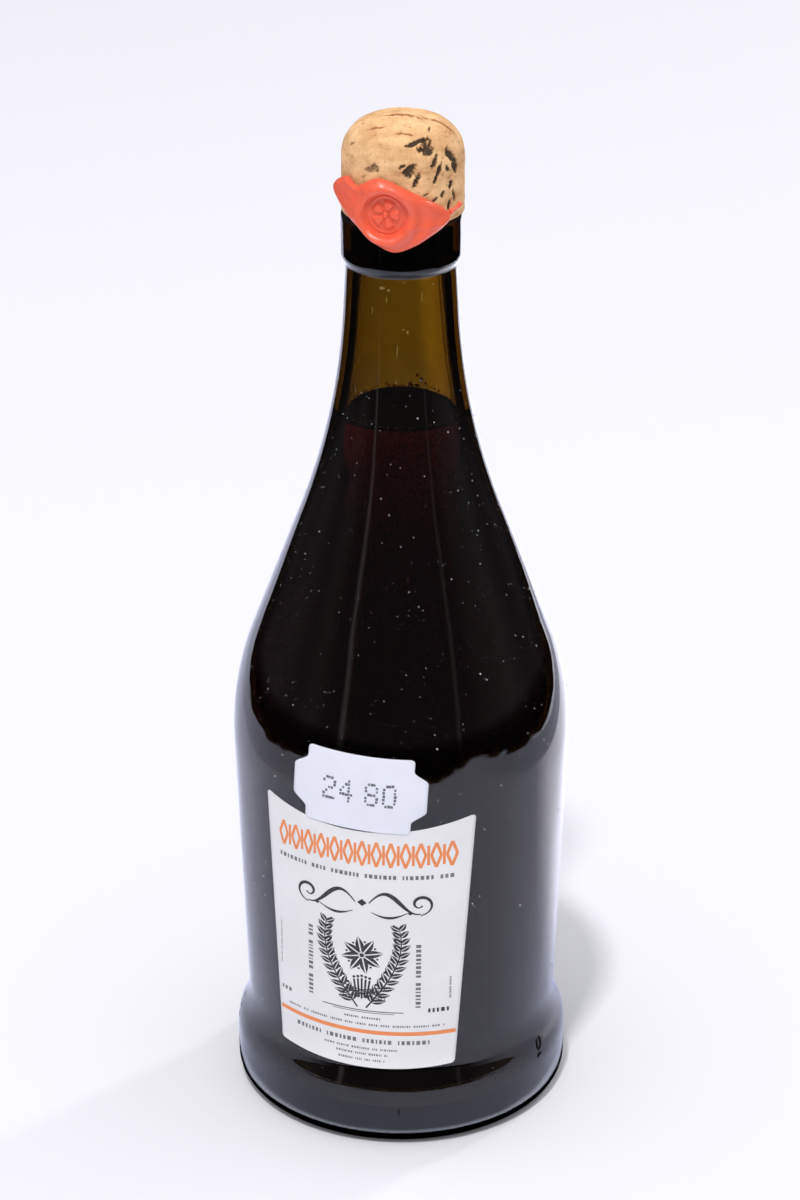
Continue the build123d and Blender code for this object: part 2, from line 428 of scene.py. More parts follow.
def waves(points, scale, seed, count=24):
    """Smooth unevenness in about -1..1: a sum of sines along random directions, scale apart."""
    rng = np.random.default_rng(seed)
    total = 0
    for _ in range(count):
        direction = rng.normal(size=points.shape[-1])
        direction *= rng.uniform(0.6, 1.6) * 2 * np.pi / scale / np.linalg.norm(direction)
        total = total + np.sin(points @ direction + rng.uniform(0, 2 * np.pi))
    return total / math.sqrt(count) / 1.2


def smooth(low, high, value):
    """Smooth step from 0 at low to 1 at high."""
    t = np.clip((value - low) / (high - low), 0, 1)
    return t * t * (3 - 2 * t)


def on_side(azimuth, height, lift):
    """Points lift outside the glass at an azimuth from -Y and a height."""
    reach = glass_radius(height) + lift
    return np.stack([reach * np.sin(azimuth), -reach * np.cos(azimuth), height], -1)


def pasted(across, up, azimuth, turn, centre, lift):
    """Points of a flat drawing laid on the glass: turned, then carried straight back to it.

    The azimuth of a point x from the middle is the sheet's azimuth plus asin(x / radius).
    """
    x = across * math.cos(turn) - up * math.sin(turn)
    height = centre + across * math.sin(turn) + up * math.cos(turn)
    reach = glass_radius(height)
    bearing = azimuth + np.arcsin(np.clip(x / reach, -1, 1))
    return on_side(bearing, height, lift)


# ---------------------------------------------------------------- materials


class Value:
    """A shader socket whose arithmetic adds Math nodes."""

    def __init__(self, nodes, socket):
        self.nodes = nodes
        self.socket = socket

    def _math(self, operation, *others):
        return self.nodes.add("Math", {"operation": operation}, *others)[0]

    def __add__(self, other):
        return self._math("ADD", self, other)

    def __radd__(self, other):
        return self._math("ADD", other, self)

    def __sub__(self, other):
        return self._math("SUBTRACT", self, other)

    def __rsub__(self, other):
        return self._math("SUBTRACT", other, self)

    def __mul__(self, other):
        return self._math("MULTIPLY", self, other)

    def __rmul__(self, other):
        return self._math("MULTIPLY", other, self)

    def __truediv__(self, other):
        return self._math("DIVIDE", self, other)

    def __pow__(self, other):
        return self._math("POWER", self, other)


class Nodes:
    """Adds nodes to one node tree."""

    def __init__(self, tree):
        self.tree = tree

    def add(self, kind, options=None, *values, **named):
        """Node of a type, its settings first, then its sockets by order or by name."""
        node = self.tree.nodes.new("ShaderNode" + kind)
        for key, setting in (options or {}).items():
            setattr(node, key, setting)
        sockets = [s for s in node.inputs if s.enabled]
        pairs = list(zip(sockets, values))
        pairs += [(node.inputs[key.replace("_", " ")], value) for key, value in named.items()]
        for socket, value in pairs:
            if value is None:
                continue
            if isinstance(value, Value):
                self.tree.links.new(value.socket, socket)
            elif socket.type == "RGBA" and len(value) == 3:
                socket.default_value = (*value, 1)
            else:
                socket.default_value = value
        return [Value(self, s) for s in node.outputs if s.enabled]

    def mix(self, factor, first, second, blend="MIX"):
        """Mixed colour."""
        options = {"data_type": "RGBA", "blend_type": blend}
        return self.add("Mix", options, factor, first, second)[0]

    def noise(self, vector, scale, detail=4.0, rough=0.55, stretch=None):
        """Noise over a vector, a scale in waves per metre."""
        if stretch:
            vector = self.add("Mapping", None, Vector=vector, Scale=stretch)[0]
        sockets = {"Vector": vector, "Scale": scale, "Detail": detail, "Roughness": rough}
        return self.add("TexNoise", None, **sockets)[0]

    def larger(self, first, second):
        """The larger of two values."""
        return self.add("Math", {"operation": "MAXIMUM"}, first, second)[0]

    def size(self, value):
        """A value without its sign."""
        return self.add("Math", {"operation": "ABSOLUTE"}, value)[0]

    def glow(self, shade, strength=1.0):
        """Light of one colour."""
        return self.add("Emission", None, Color=shade, Strength=strength)[0]

    def place(self):
        """Object coordinates."""
        return self.add("TexCoord")[3]

    def band(self, value, low, high):
        """0 below low, 1 above high, smooth between."""
        options = {"interpolation_type": "SMOOTHSTEP"}
        return self.add("MapRange", options, Value=value, From_Min=low, From_Max=high)[0]


def new_material(name):
    """Empty material: its nodes, and its output node."""
    material = bpy.data.materials.new(name)
    material.use_nodes = True
    material.node_tree.nodes.clear()
    output = material.node_tree.nodes.new("ShaderNodeOutputMaterial")
    return material, Nodes(material.node_tree), output


def principled(nodes, output, **sockets):
    """Principled shader linked to the output, its sockets given by name."""
    shader = nodes.add("BsdfPrincipled", None, **sockets)[0]
    nodes.tree.links.new(shader.socket, output.inputs["Surface"])
    return shader


def bumped(nodes, height, distance, strength=1.0):
    """Normal from a height."""
    return nodes.add("Bump", None, Strength=strength, Distance=distance, Height=height)[0]


def glass_material():
    """Dark olive glass: clear, coloured by its thickness, with faint waves from the mould."""
    g = settings().glass
    material, n, output = new_material("olive_glass")
    place = n.place()
    swell = n.noise(place, 42.0, 1.5, 0.5, (1, 1, 0.45))
    orange_peel = n.noise(place, 260.0, 2.0, 0.5)
    normal = bumped(n, swell + orange_peel * 0.006, 0.0006)
    principled(
        n,
        output,
        Base_Color=(1, 1, 1),
        Roughness=0.0,
        IOR=1.52,
        Transmission_Weight=1.0,
        Normal=normal,
    )
    absorb = n.add("VolumeAbsorption", None, Color=tuple(g.tint), Density=g.density)[0]
    n.tree.links.new(absorb.socket, output.inputs["Volume"])
    return material


def vinegar_material():
    """Deep red vinegar: clear, coloured by its depth."""
    v = settings().vinegar
    material, n, output = new_material("red_vinegar")
    principled(n, output, Base_Color=(1, 1, 1), Roughness=0.0, IOR=1.345, Transmission_Weight=1.0)
    absorb = n.add("VolumeAbsorption", None, Color=tuple(v.tint), Density=v.density)[0]
    n.tree.links.new(absorb.socket, output.inputs["Volume"])
    return material


def cork_material():
    """Natural cork: pale, mottled, with brown streaks along one way and dark pits."""
    c = settings().cork
    material, n, output = new_material("natural_cork")
    place = n.place()
    mottle = n.noise(place, 260.0, 6.0, 0.62)
    fine = n.noise(place, 1500.0, 5.0, 0.65)
    grain = n.noise(place, 170.0, 5.0, 0.6, (0.35, 1.0, 2.6))
    pit = n.add("Attribute", {"attribute_name": "pit"})[2]
    streak = n.add("Attribute", {"attribute_name": "streak"})[2]
    base = n.mix(n.band(mottle * 0.6 + grain * 0.4, 0.36, 0.66), tuple(c.light), tuple(c.deep))
    pale = n.mix(n.band(fine, 0.50, 0.72) * 0.35, base, tuple(c.pale))
    lines = n.band(grain, 0.60, 0.70) * 0.45
    lined = n.mix(lines, pale, tuple(c.line))
    streaks = n.band(streak + (fine - 0.5) * 0.8, 0.15, 0.7) * 0.85
    stained = n.mix(streaks, lined, tuple(c.streak))
    specks = n.band(n.noise(place, 900.0, 3.0, 0.6), 0.67, 0.71) * 0.8
    flecked = n.mix(specks, stained, tuple(c.speck))
    halo = n.band(pit + (fine - 0.5) * 0.9, 0.05, 0.45) * 0.55
    ragged = n.band(pit + (fine - 0.5) * 1.1, 0.30, 0.92)
    haloed = n.mix(halo, flecked, tuple(c.halo))
    pitted = n.mix(ragged, haloed, tuple(c.pit))
    # Shaft below the lip darkened: the vinegar's stain, and painted shade for the dark bore
    height = n.add("SeparateXYZ", None, place)[2]
    lip = LIP * MM
    stain_and_shade = n.band(height * -1.0, -lip, 1.5 * MM - lip)
    painted = n.mix(stain_and_shade, pitted, tuple(c.stain_and_shade))
    relief = fine * 0.5 + mottle * 0.6 - ragged * 1.2
    principled(
        n,
        output,
        Base_Color=painted,
        Roughness=0.82 + ragged * 0.1,
        IOR=1.4,
        Specular_IOR_Level=0.3,
        Normal=bumped(n, relief, 0.00022, 0.7),
    )
    return material


def wax_material():
    """Satin coral sealing wax, a little paler and duller where it was handled."""
    w = settings().wax
    material, n, output = new_material("coral_wax")
    place = n.place()
    cloud = n.noise(place, 180.0, 4.0, 0.6)
    fine = n.noise(place, 1400.0, 3.0, 0.6)
    base = n.mix(n.band(cloud, 0.35, 0.7) * 0.55, tuple(w.colour), tuple(w.worn))
    dusted = n.mix(n.band(fine, 0.68, 0.74) * 0.25, base, tuple(w.dusted))
    principled(
        n,
        output,
        Base_Color=dusted,
        Roughness=0.30 + cloud * 0.14,
        IOR=1.45,
        Subsurface_Weight=0.12,
        Subsurface_Radius=(0.0016, 0.0005, 0.0003),
        Subsurface_Scale=1.0,
        Coat_Weight=0.22,
        Coat_Roughness=0.20,
        Normal=bumped(n, cloud + fine * 0.15, 0.00035, 0.6),
    )
    return material


def paper_material(name, white, shine):
    """Smooth coated paper with a faint tooth and a trace of handling."""
    material, n, output = new_material(name)
    place = n.place()
    tooth = n.noise(place, 2600.0, 4.0, 0.6)
    cloud = n.noise(place, 70.0, 3.0, 0.5)
    shade = tuple(channel * 0.955 for channel in white)
    base = n.mix(n.band(cloud, 0.3, 0.7), tuple(white), shade)
    principled(
        n,
        output,
        Base_Color=base,
        Roughness=shine + tooth * 0.12,
        IOR=1.45,
        Normal=bumped(n, tooth, 0.00002, 0.5),
    )
    return material


def ink_material(name, shade, patchy=0.25):
    """Printed ink that lies a little unevenly on the paper."""
    material, n, output = new_material(name)
    place = n.place()
    grain = n.noise(place, 2200.0, 3.0, 0.6)
    lighter = tuple(channel + (0.80 - channel) * patchy for channel in shade)
    base = n.mix(n.band(grain, 0.45, 0.75), tuple(shade), lighter)
    principled(n, output, Base_Color=base, Roughness=0.5 + grain * 0.1, IOR=1.45)
    return material


def plain_material(name, shade, rough, **sockets):
    """Small matter such as dust or residue: one shade with a fine mottle."""
    material, n, output = new_material(name)
    mottle = n.noise(n.place(), 3000.0, 2.0)
    darker = tuple(channel * 0.75 for channel in shade)
    base = n.mix(mottle, tuple(shade), darker)
    principled(n, output, Base_Color=base, Roughness=rough, **sockets)
    return material


# ---------------------------------------------------------------- pieces


def floor_rise(reach, above=0.0):
    """Height of the hollow under the foot, or of a floor above it.

    Both are balls about one centre: the hollow's runs through its rim and its highest point.
    """
    g = settings().glass
    ball_radius = (g.punt_radius**2 + g.punt_depth**2) / (2 * g.punt_depth)
    return g.punt_depth - ball_radius + np.sqrt((ball_radius + above) ** 2 - reach**2)


def bottle_shell():
    """The whole wall as one closed surface: punt, foot, side, collar, lip, bore, inside, floor."""
    g = settings().glass
    reach = np.linspace(0, g.punt_radius, 18)
    punt = np.stack([reach, floor_rise(reach)], 1)
    lip = rounded_chain(
        [
            (g.collar_radius, LIP * MM - g.collar_height + g.collar_foot),
            (g.collar_radius, LIP * MM),
            (g.bore_radius, LIP * MM),
            (g.bore_radius, LIP * MM - g.collar_height),
        ],
        [g.lip_round, 0.6 * MM],
    )
    inside = inside_side(g.wall)[::-1]
    reach = np.linspace(inside[-1, 0], 0, 22)[1:]
    floor = np.stack([reach, np.maximum(floor_rise(reach, g.base), g.base)], 1)
    lip = resampled(lip, 0.7 * MM)
    outline = [punt[:-1], glass_side(), collar_foot()[1:], lip[1:], inside[1:], floor]
    outline = np.concatenate(outline)
    return around(outline, SEGMENTS), grid_faces(len(outline), SEGMENTS, True)


def bead(path, width, height, lift=0.0):
    """Raised line on the glass: a flat oval section carried along a path of (arc, height) points.

    The section is width / 2 cos a across and height sin a out of the glass; both ends close.
    Millimetres, the arc counted from -Y towards +X.
    """
    path = resampled(np.asarray(path, float), 0.3)
    tangent = np.gradient(path, axis=0)
    tangent /= np.linalg.norm(tangent, axis=1)[:, None]
    side = np.stack([-tangent[:, 1], tangent[:, 0]], 1)
    ends = np.linspace(-1, 1, len(path))
    swell = np.sqrt(np.clip(1 - np.abs(ends) ** 6, 0, 1))[:, None]
    turn = np.linspace(0, 2 * np.pi, 10, endpoint=False)[None]
    flat = path[:, None] + side[:, None] * (swell * width / 2 * np.cos(turn))[..., None]
    rise = flat[..., 1] * MM
    out = (lift + swell * height * np.sin(turn)) * MM
    points = on_side(flat[..., 0] * MM / glass_radius(rise), rise, out)
    return points.reshape(-1, 3), grid_faces(len(path), 10, True)


def mould_marks():
    """Raised marks of the mould on the foot: three dots, an oval over a bar, and a short tick,
    near black as painted shade.

    Their feet lie in the glass, so that only their tops stand out of it.
    """
    radius = settings().glass.foot_radius / MM
    left = math.radians(-86.0) * radius
    right = math.radians(56.5) * radius
    foot = 13.6
    parts = []
    for height in (foot, foot + 2.1, foot + 4.2):
        parts.append(bead([(left - 0.5, height), (left + 0.5, height)], 1.2, 0.16, -0.1))
    turn = np.linspace(0, 1.9 * np.pi, 24)
    oval = np.stack([right + 0.8 * np.sin(turn), foot + 2.8 + 1.15 * np.cos(turn)], 1)
    under = [(right - 0.9, foot), (right + 0.2, foot + 0.5), (right + 0.9, foot + 0.1)]
    for path in (oval, under):
        parts.append(bead(path, 0.8, 0.3, -0.05))
    parts.append(bead([(-0.55, 8.2), (-0.55, 10.4)], 0.35, 0.1, -0.06))
    return joined(parts)


# Pale specks on the neck, painted glints: azimuth in degrees, height, half width and half height,
# millimetres
NECK_GLINTS = [
    (-20, 203.1, 0.70, 0.32),
    (-13, 202.7, 0.38, 0.22),
    (6, 193.3, 0.26, 0.38),
    (2, 193.9, 0.18, 0.14),
    (-4, 188.9, 0.10, 1.50),
    (-15, 200.5, 0.10, 0.60),
    (21, 201.2, 0.09, 1.20),
    (3, 204.5, 0.30, 0.13),
    (-30, 197.7, 0.10, 0.90),
    (34, 203.6, 0.24, 0.20),
    (165, 199.0, 0.50, 0.30),
    (-140, 192.0, 0.12, 1.10),
]


def neck_glint_specks():
    """Thin pale specks on the neck, painted glints: unit balls widened, and flattened on the
    glass.
    """
    unit, faces = ball((0, 0, 0), MM, rows=7, columns=10)
    thin = 0.06
    parts = []
    for azimuth, rise, wide, tall in NECK_GLINTS:
        height = rise * MM + unit[:, 2] * tall
        bearing = math.radians(azimuth) + unit[:, 0] * wide / glass_radius(height)
        parts.append((on_side(bearing, height, -thin * unit[:, 1]), faces))
    return joined(parts)


class BOTTLE_OT_glass(bpy.types.Operator):
    """Glass wall, with the marks of its mould painted dark, and pale specks on its neck that paint
    glints
    """

    bl_idname = "bottle.glass"
    bl_label = "Glass"

    def execute(self, context):
        material = glass_material()
        points, faces = bottle_shell()
        wall = make_object("glass_wall", points, faces, material, solid=True, merge=MERGE)
        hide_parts("bottle")
        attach(wall, "root")
        points, faces = mould_marks()
        # Near black: painted shade where the raised glass looks dark
        dark = plain_material("painted_dark_mould_marks", MOULD_MARK_PAINTED_DARK, 0.5, Specular_IOR_Level=0.08)
        marks = make_object("mould_marks", points, faces, dark, solid=True, merge=MERGE)
        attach(marks, "root")
        points, faces = neck_glint_specks()
        # Pale yellow specks: painted glints on the neck
        glint_paint = plain_material("painted_neck_glint", NECK_GLINT_PAINT, 0.35)
        glint_specks = make_object("neck_glint_specks", points, faces, glint_paint, solid=True, merge=MERGE)
        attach(glint_specks, "root")
        return {"FINISHED"}


def vinegar_outline():
    """Half outline of the vinegar: floor, side just inside the glass, meniscus and level top.

    The meniscus climbs the glass by its height times exp(-distance from the glass / 1 mm).
    """
    v = settings().vinegar
    g = settings().glass
    wall = inside_side(g.wall)
    side = wall + v.reach * outline_normals(wall)
    level = LEVEL * MM
    brim = level + v.meniscus
    side = side[side[:, 1] < brim]
    reach = np.linspace(0, side[0, 0], 22)[:-1]
    floor = np.stack([reach, np.maximum(floor_rise(reach, g.base), g.base) - v.reach], 1)
    rim = np.interp(brim, wall[:, 1], wall[:, 0])
    inward = np.array([0, 0.25, 0.55, 0.95, 1.5, 2.2, 3.2, 4.6]) * MM
    climb = v.meniscus * np.exp(-inward / (1.0 * MM))
    lens = np.stack([rim - inward, level + climb], 1)
    flat = np.stack([np.linspace(rim - 6 * MM, 0, 8), np.full(8, level)], 1)
    return np.concatenate([floor, side, lens, flat])


def against_wall(wall, bearing, height, inset):
    """Place inset away from the inside of the glass, at a bearing and a height."""
    reach = np.interp(height, wall[:, 1], wall[:, 0]) - inset
    return reach * math.sin(bearing), -reach * math.cos(bearing), height


def rim_bubbles():
    """Small bubbles resting against the glass all round the surface, thickest at the front."""
    v = settings().vinegar
    rng = np.random.default_rng(11)
    wall = inside_side(settings().glass.wall)
    parts = []
    for _ in range(v.bubbles):
        bearing = rng.normal(0.15, 0.9)
        radius = rng.uniform(0.14, 0.36) * MM
        height = LEVEL * MM + v.meniscus * rng.uniform(0.75, 1.0)
        centre = against_wall(wall, bearing, height, radius * 1.2)
        parts.append(ball(centre, radius, rows=6, columns=8))
    return joined(parts)


def dried_residue():
    """Brown tide line above the surface at the back: flat drops on the inside of the glass."""
    rng = np.random.default_rng(5)
    wall = inside_side(settings().glass.wall)
    level = LEVEL * MM
    inset = 0.05 * MM
    parts = []
    for _ in range(60):
        bearing = math.pi + rng.uniform(-1.35, 1.35)
        rise = settings().vinegar.meniscus + abs(rng.normal(0, 0.55)) * MM
        centre = against_wall(wall, bearing, level + rise, inset)
        radius = rng.uniform(0.16, 0.48) * MM
        thin = abs(math.cos(bearing))
        squash = (1 - 0.75 * (1 - thin), 1 - 0.75 * thin, rng.uniform(0.35, 1.1))
        parts.append(ball(centre, radius, squash, rows=6, columns=8))
    for bearing, rise, tall in ((2.72, 3.3, 1.7), (2.80, 4.4, 0.9), (2.62, 2.6, 0.8)):
        centre = against_wall(wall, bearing, level + rise * MM, inset)
        parts.append(ball(centre, 0.5 * MM, (0.7, 0.4, tall)))
    return joined(parts)


class BOTTLE_OT_vinegar(bpy.types.Operator):
    """Vinegar with its meniscus, bubbles and tide line"""

    bl_idname = "bottle.vinegar"
    bl_label = "Vinegar"

    def execute(self, context):
        outline = vinegar_outline()
        points = around(outline, SEGMENTS)
        faces = grid_faces(len(outline), SEGMENTS, True)
        liquid = make_object("vinegar_fill", points, faces, vinegar_material(), True, MERGE)
        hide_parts("vinegar")
        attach(liquid, "root")
        points, faces = rim_bubbles()
        foam = plain_material("bubble_skin", BUBBLE_SKIN, 0.12)
        bubbles = make_object("rim_bubbles", points, faces, foam, solid=True, merge=MERGE)
        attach(bubbles, "root")
        points, faces = dried_residue()
        stain = plain_material("tide_line", TIDE_LINE, 0.3)
        residue = make_object("tide_line", points, faces, stain, solid=True, merge=MERGE)
        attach(residue, "root")
        return {"FINISHED"}


# Pits of the cork: azimuth and height of the middle, length, width, lean from upright, depth.
# Heights are over the lip; lengths in millimetres, angles in degrees.
CORK_PITS = [
    (25, 17.0, 5.0, 3.0, -38, 0.8),
    (15, 18.3, 5.0, 1.2, -72, 0.45),
    (34, 11.4, 5.0, 1.1, -26, 0.5),
    (31, 14.2, 3.6, 1.4, -30, 0.5),
    (5, 12.6, 3.8, 2.6, -52, 0.65),
    (12, 10.2, 3.8, 1.5, -30, 0.55),
    (0, 13.6, 2.2, 1.4, -60, 0.4),
    (52, 14.4, 4.6, 2.4, 16, 0.65),
    (58, 11.6, 4.2, 1.7, 20, 0.5),
    (46, 11.6, 3.0, 1.3, 24, 0.45),
    (50, 8.2, 2.2, 1.2, -20, 0.45),
    (56, 5.0, 3.6, 1.3, 20, 0.5),
    (48, 3.4, 2.6, 1.4, -10, 0.45),
    (40, 6.4, 2.0, 1.1, -30, 0.35),
    (31, 5.6, 2.4, 1.0, -50, 0.35),
    (22, 7.0, 2.4, 0.8, -70, 0.3),
    (-31, 12.6, 3.6, 1.7, -60, 0.26),
    (-25, 12.9, 2.4, 1.4, 30, 0.24),
    (-62, 16.5, 2.4, 0.7, -60, 0.22),
    (40, 19.9, 1.9, 0.7, -50, 0.3),
    (118, 12.0, 3.8, 1.4, 20, 0.6),
    (150, 8.0, 4.4, 1.2, -35, 0.6),
    (-150, 13.0, 3.4, 1.6, 40, 0.6),
    (-112, 7.5, 3.0, 1.1, -20, 0.5),
    (-170, 17.8, 3.0, 1.0, 60, 0.45),
]

# Streaks across the cork's top: x and y of the middle, length, width, direction in degrees.
CORK_STREAKS = [
    (0.0, -1.5, 8.5, 1.3, -10),
    (7.5, -2.2, 8.5, 1.2, -14),
    (3.6, 9.0, 5.5, 1.3, -6),
    (-6.0, -6.2, 4.0, 0.8, -12),
    (-8.5, 0.5, 3.6, 0.7, 20),
    (0.5, -9.2, 5.0, 0.6, -6),
]


def cork_outline():
    """Half outline of the cork: shaft, underside of the head, side, rounded edge and dome."""
    c = settings().cork
    bore = settings().glass.bore_radius - c.clearance
    lip = LIP * MM + c.clearance
    top = CORK_TOP * MM
    foot = CORK_FOOT * MM
    shaft = resampled(rounded_chain([(0, foot), (bore, foot), (bore, lip)], [0.6 * MM]), 1.4 * MM)
    under = resampled(np.array([(bore, lip), (c.radius, lip)]), 1.4 * MM)
    edge = top - c.dome - c.edge_round
    side = resampled(np.array([(c.radius, lip), (c.radius, edge)]), 0.17 * MM)
    turn = np.linspace(0, np.pi / 2, 64)
    level = c.radius - c.edge_round
    corner = np.stack([level + c.edge_round * np.cos(turn), edge + c.edge_round * np.sin(turn)], 1)
    reach = np.linspace(level, 0, 34)
    dome = top - c.dome * (reach / reach[0]) ** 2
    crown = np.stack([reach, dome], 1)
    return np.concatenate([shaft, under[1:], side[1:], corner[1:], crown[1:]])


def cork_surface(segments=296):
    """Cork with its pits: each point moves inwards by the pits' depth, plus a slight unevenness.

    A pit is an ellipse on the surface, in the directions across and along its lean; its depth
    falls from the middle to its edge, which waves move in and out.
    """
    c = settings().cork
    outline = cork_outline()
    normal = outline_normals(outline)
    points = around(outline, segments)
    turn = np.linspace(0, 2 * np.pi, segments, endpoint=False)[None]
    outward = np.stack(
        [
            normal[:, None, 0] * np.sin(turn),
            -normal[:, None, 0] * np.cos(turn),
            normal[:, None, 1] + 0 * turn,
        ],
        -1,
    )
    ragged = 0.30 * waves(points, 2.2 * MM, 3) + 0.22 * waves(points, 0.9 * MM, 4)
    head = smooth(LIP * MM + 0.2 * MM, LIP * MM + 0.9 * MM, points[..., 2])
    shape = outline[outline[:, 1] > LIP * MM + 0.5 * MM]
    slopes = np.gradient(shape[:, 0], shape[:, 1] + 1e-9 * np.arange(len(shape)))
    full_depth = 0.42
    pit = np.zeros(points.shape[:2])
    depth = np.zeros(points.shape[:2])
    for azimuth, rise, long, wide, lean, deep in CORK_PITS:
        bearing = math.radians(azimuth)
        height = LIP * MM + rise * MM
        reach = np.interp(height, shape[:, 1], shape[:, 0])
        centre = np.array([reach * math.sin(bearing), -reach * math.cos(bearing), height])
        across = np.array([math.cos(bearing), math.sin(bearing), 0])
        slope = np.interp(height, shape[:, 1], slopes)
        up = np.array([slope * math.sin(bearing), -slope * math.cos(bearing), 1])
        up /= np.linalg.norm(up)
        tilt = math.radians(lean)
        x = (points - centre) @ (across * math.cos(tilt) + up * math.sin(tilt)) / (wide * MM)
        y = (points - centre) @ (up * math.cos(tilt) - across * math.sin(tilt)) / (long * MM)
        away = (points - centre) @ np.cross(across, up) / (3 * MM)
        size = np.sqrt((2 * x) ** 2 + (2 * y) ** 2 + away**2)
        inside = 1 - smooth(0.55, 1.15, size + ragged)
        pit = np.maximum(pit, inside * min(1, deep / full_depth))
        depth = np.maximum(depth, inside * deep * MM)
    small = smooth(0.95, 1.35, waves(points, 1.5 * MM, 8)) * head
    depth += small * 0.12 * MM + 0.05 * MM * (1 + waves(points, 5 * MM, 9)) * head
    pit = np.maximum(pit, 0.35 * small)
    top = smooth(CORK_TOP * MM - 9 * MM, CORK_TOP * MM - 4 * MM, points[..., 2])
    streak = np.zeros(points.shape[:2])
    for x0, y0, long, wide, way in CORK_STREAKS:
        tilt = math.radians(way)
        dx, dy = points[..., 0] - x0 * MM, points[..., 1] - y0 * MM
        x = (dx * math.cos(tilt) + dy * math.sin(tilt)) / (long * MM)
        y = (dy * math.cos(tilt) - dx * math.sin(tilt)) / (wide * MM)
        size = np.sqrt((2 * x) ** 2 + (2 * y) ** 2)
        streak = np.maximum(streak, top * (1 - smooth(0.5, 1.2, size + ragged)))
    depth += 0.15 * MM * streak
    points = points - outward * (depth * head)[..., None]
    points[..., 0] += c.shift * smooth(LIP * MM - 0.1 * MM, LIP * MM + 0.05 * MM, points[..., 2])
    return points, grid_faces(len(outline), segments, True), pit * head, streak * head


class BOTTLE_OT_cork(bpy.types.Operator):
    """Natural cork with its pits and streaks"""

    bl_idname = "bottle.cork"
    bl_label = "Cork"

    def execute(self, context):
        points, faces, pit, streak = cork_surface()
        layers = {"pit": pit, "streak": streak}
        cork = make_object("cork_stopper", points, faces, cork_material(), True, MERGE, layers)
        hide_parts("cork")
        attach(cork, "root")
        return {"FINISHED"}


# Outline of the wax blob, seen from where it was stamped: across, and up from the lip, millimetres
WAX_EDGE = [
    (-13.6, 6.8),
    (-10.4, 9.7),
    (-7.6, 8.4),
    (-1.6, 10.9),
    (5.6, 8.2),
    (12.0, 3.8),
    (12.6, -0.4),
    (2.6, -5.6),
    (-5.6, -2.0),
    (-11.6, 3.2),
]


def closed_curve(points, count):
    """Smooth closed curve through points, in cubic pieces.

    At each point the tangent is half the chord between the points before and after it.
    """
    points = np.asarray(points, float)
    place = np.linspace(0, len(points), count, endpoint=False)
    index = place.astype(int)
    t = (place - index)[:, None]
    a, b, c, d = (points[(index + k) % len(points)] for k in (-1, 0, 1, 2))
    square = 2 * a - 5 * b + 4 * c - d
    cube = 3 * b - a - 3 * c + d
    return 0.5 * (2 * b + (c - a) * t + square * t**2 + cube * t**3)


def ridge(place, middle, width):
    """Height of a ridge of height 1: exp(-((place - middle) / width) squared)."""
    return np.exp(-(((place - middle) / width) ** 2))


def wax_blob():
    """Blob of wax: rays from its middle to its outline, out over the front and back underneath.

    Its thickness is even in the middle and rounds off like a quarter circle at the edge. Inside
    the stamp's radius the front is a flat, square to the stamp's direction, with a rosette on it,
    and the wax that the stamp pushed out stands round it as a roll.
    """
    w = settings().wax
    c = settings().cork
    edge = closed_curve(WAX_EDGE, 220) * MM
    middle = np.array([-0.4, 2.6]) * MM
    inner = 0.86
    outer = inner + (1 - inner) * np.sin(np.linspace(0.05, 1, 18) * np.pi / 2)
    rings = np.r_[np.linspace(0.0, inner, 70), outer]
    flat = middle + rings[:, None, None] * (edge - middle)[None]
    inset = (1 - rings[:, None]) * np.linalg.norm(edge - middle, axis=1)[None]
    x, rise = flat[..., 0], flat[..., 1]
    height = LIP * MM + rise
    over = smooth(-0.6 * MM, 0.4 * MM, rise)
    collar = settings().glass.collar_radius
    reach = collar * (1 - over) + (c.radius + 0.15 * MM) * over + 0.03 * MM
    body = w.thickness * (1 + 0.14 * waves(flat, 8 * MM, 21) + 0.03 * waves(flat, 3 * MM, 22))
    rounding = np.sqrt(np.clip(1 - (1 - np.clip(inset / w.edge, 0, 1)) ** 2, 0, 1))
    away = np.hypot(x, rise - w.stamp_rise)
    turn = np.arctan2(rise - w.stamp_rise, x)
    roll = w.roll * ridge(away, 6.1 * MM, 1.15 * MM) * (0.7 + 0.3 * np.cos(turn + 0.9))
    fold = w.fold * ridge(away, 9.4 * MM, 1.0 * MM) * smooth(0.2, 0.9, np.cos(turn + 0.75))
    curl = w.curl * smooth(9 * MM, 13.5 * MM, -x)
    front = reach + 0.05 * MM + (body + roll + fold + curl) * rounding
    ray = np.arcsin(np.clip(x / (c.radius + w.thickness), -1, 1))
    petals = w.relief * smooth(0.10, 0.50, np.cos(2.5 * turn) ** 2)
    petals = petals * smooth(3.5 * MM, 2.7 * MM, away) * smooth(0.8 * MM, 1.2 * MM, away)
    button = w.relief * smooth(0.85 * MM, 0.45 * MM, away)
    ring = 0.16 * MM * ridge(away, 4.1 * MM, 0.25 * MM)
    plane = c.radius + w.stamp_floor
    pressed = (plane + petals + button + ring) / np.maximum(np.cos(ray), 0.3)
    inside = smooth(w.stamp_radius + 0.40 * MM, w.stamp_radius - 0.05 * MM, away)
    front = front * (1 - inside) + np.minimum(pressed, front + 0.2 * MM) * inside
    front = np.maximum(front, reach + 0.05 * MM)
    back = np.broadcast_to(reach, front.shape)
    bearing = w.azimuth + ray

    def placed(radius):
        return np.stack([radius * np.sin(bearing), -radius * np.cos(bearing), height], -1)

    points = np.concatenate([placed(front), placed(back)[::-1]])
    return points.reshape(-1, 3), grid_faces(2 * len(rings), len(edge), True)


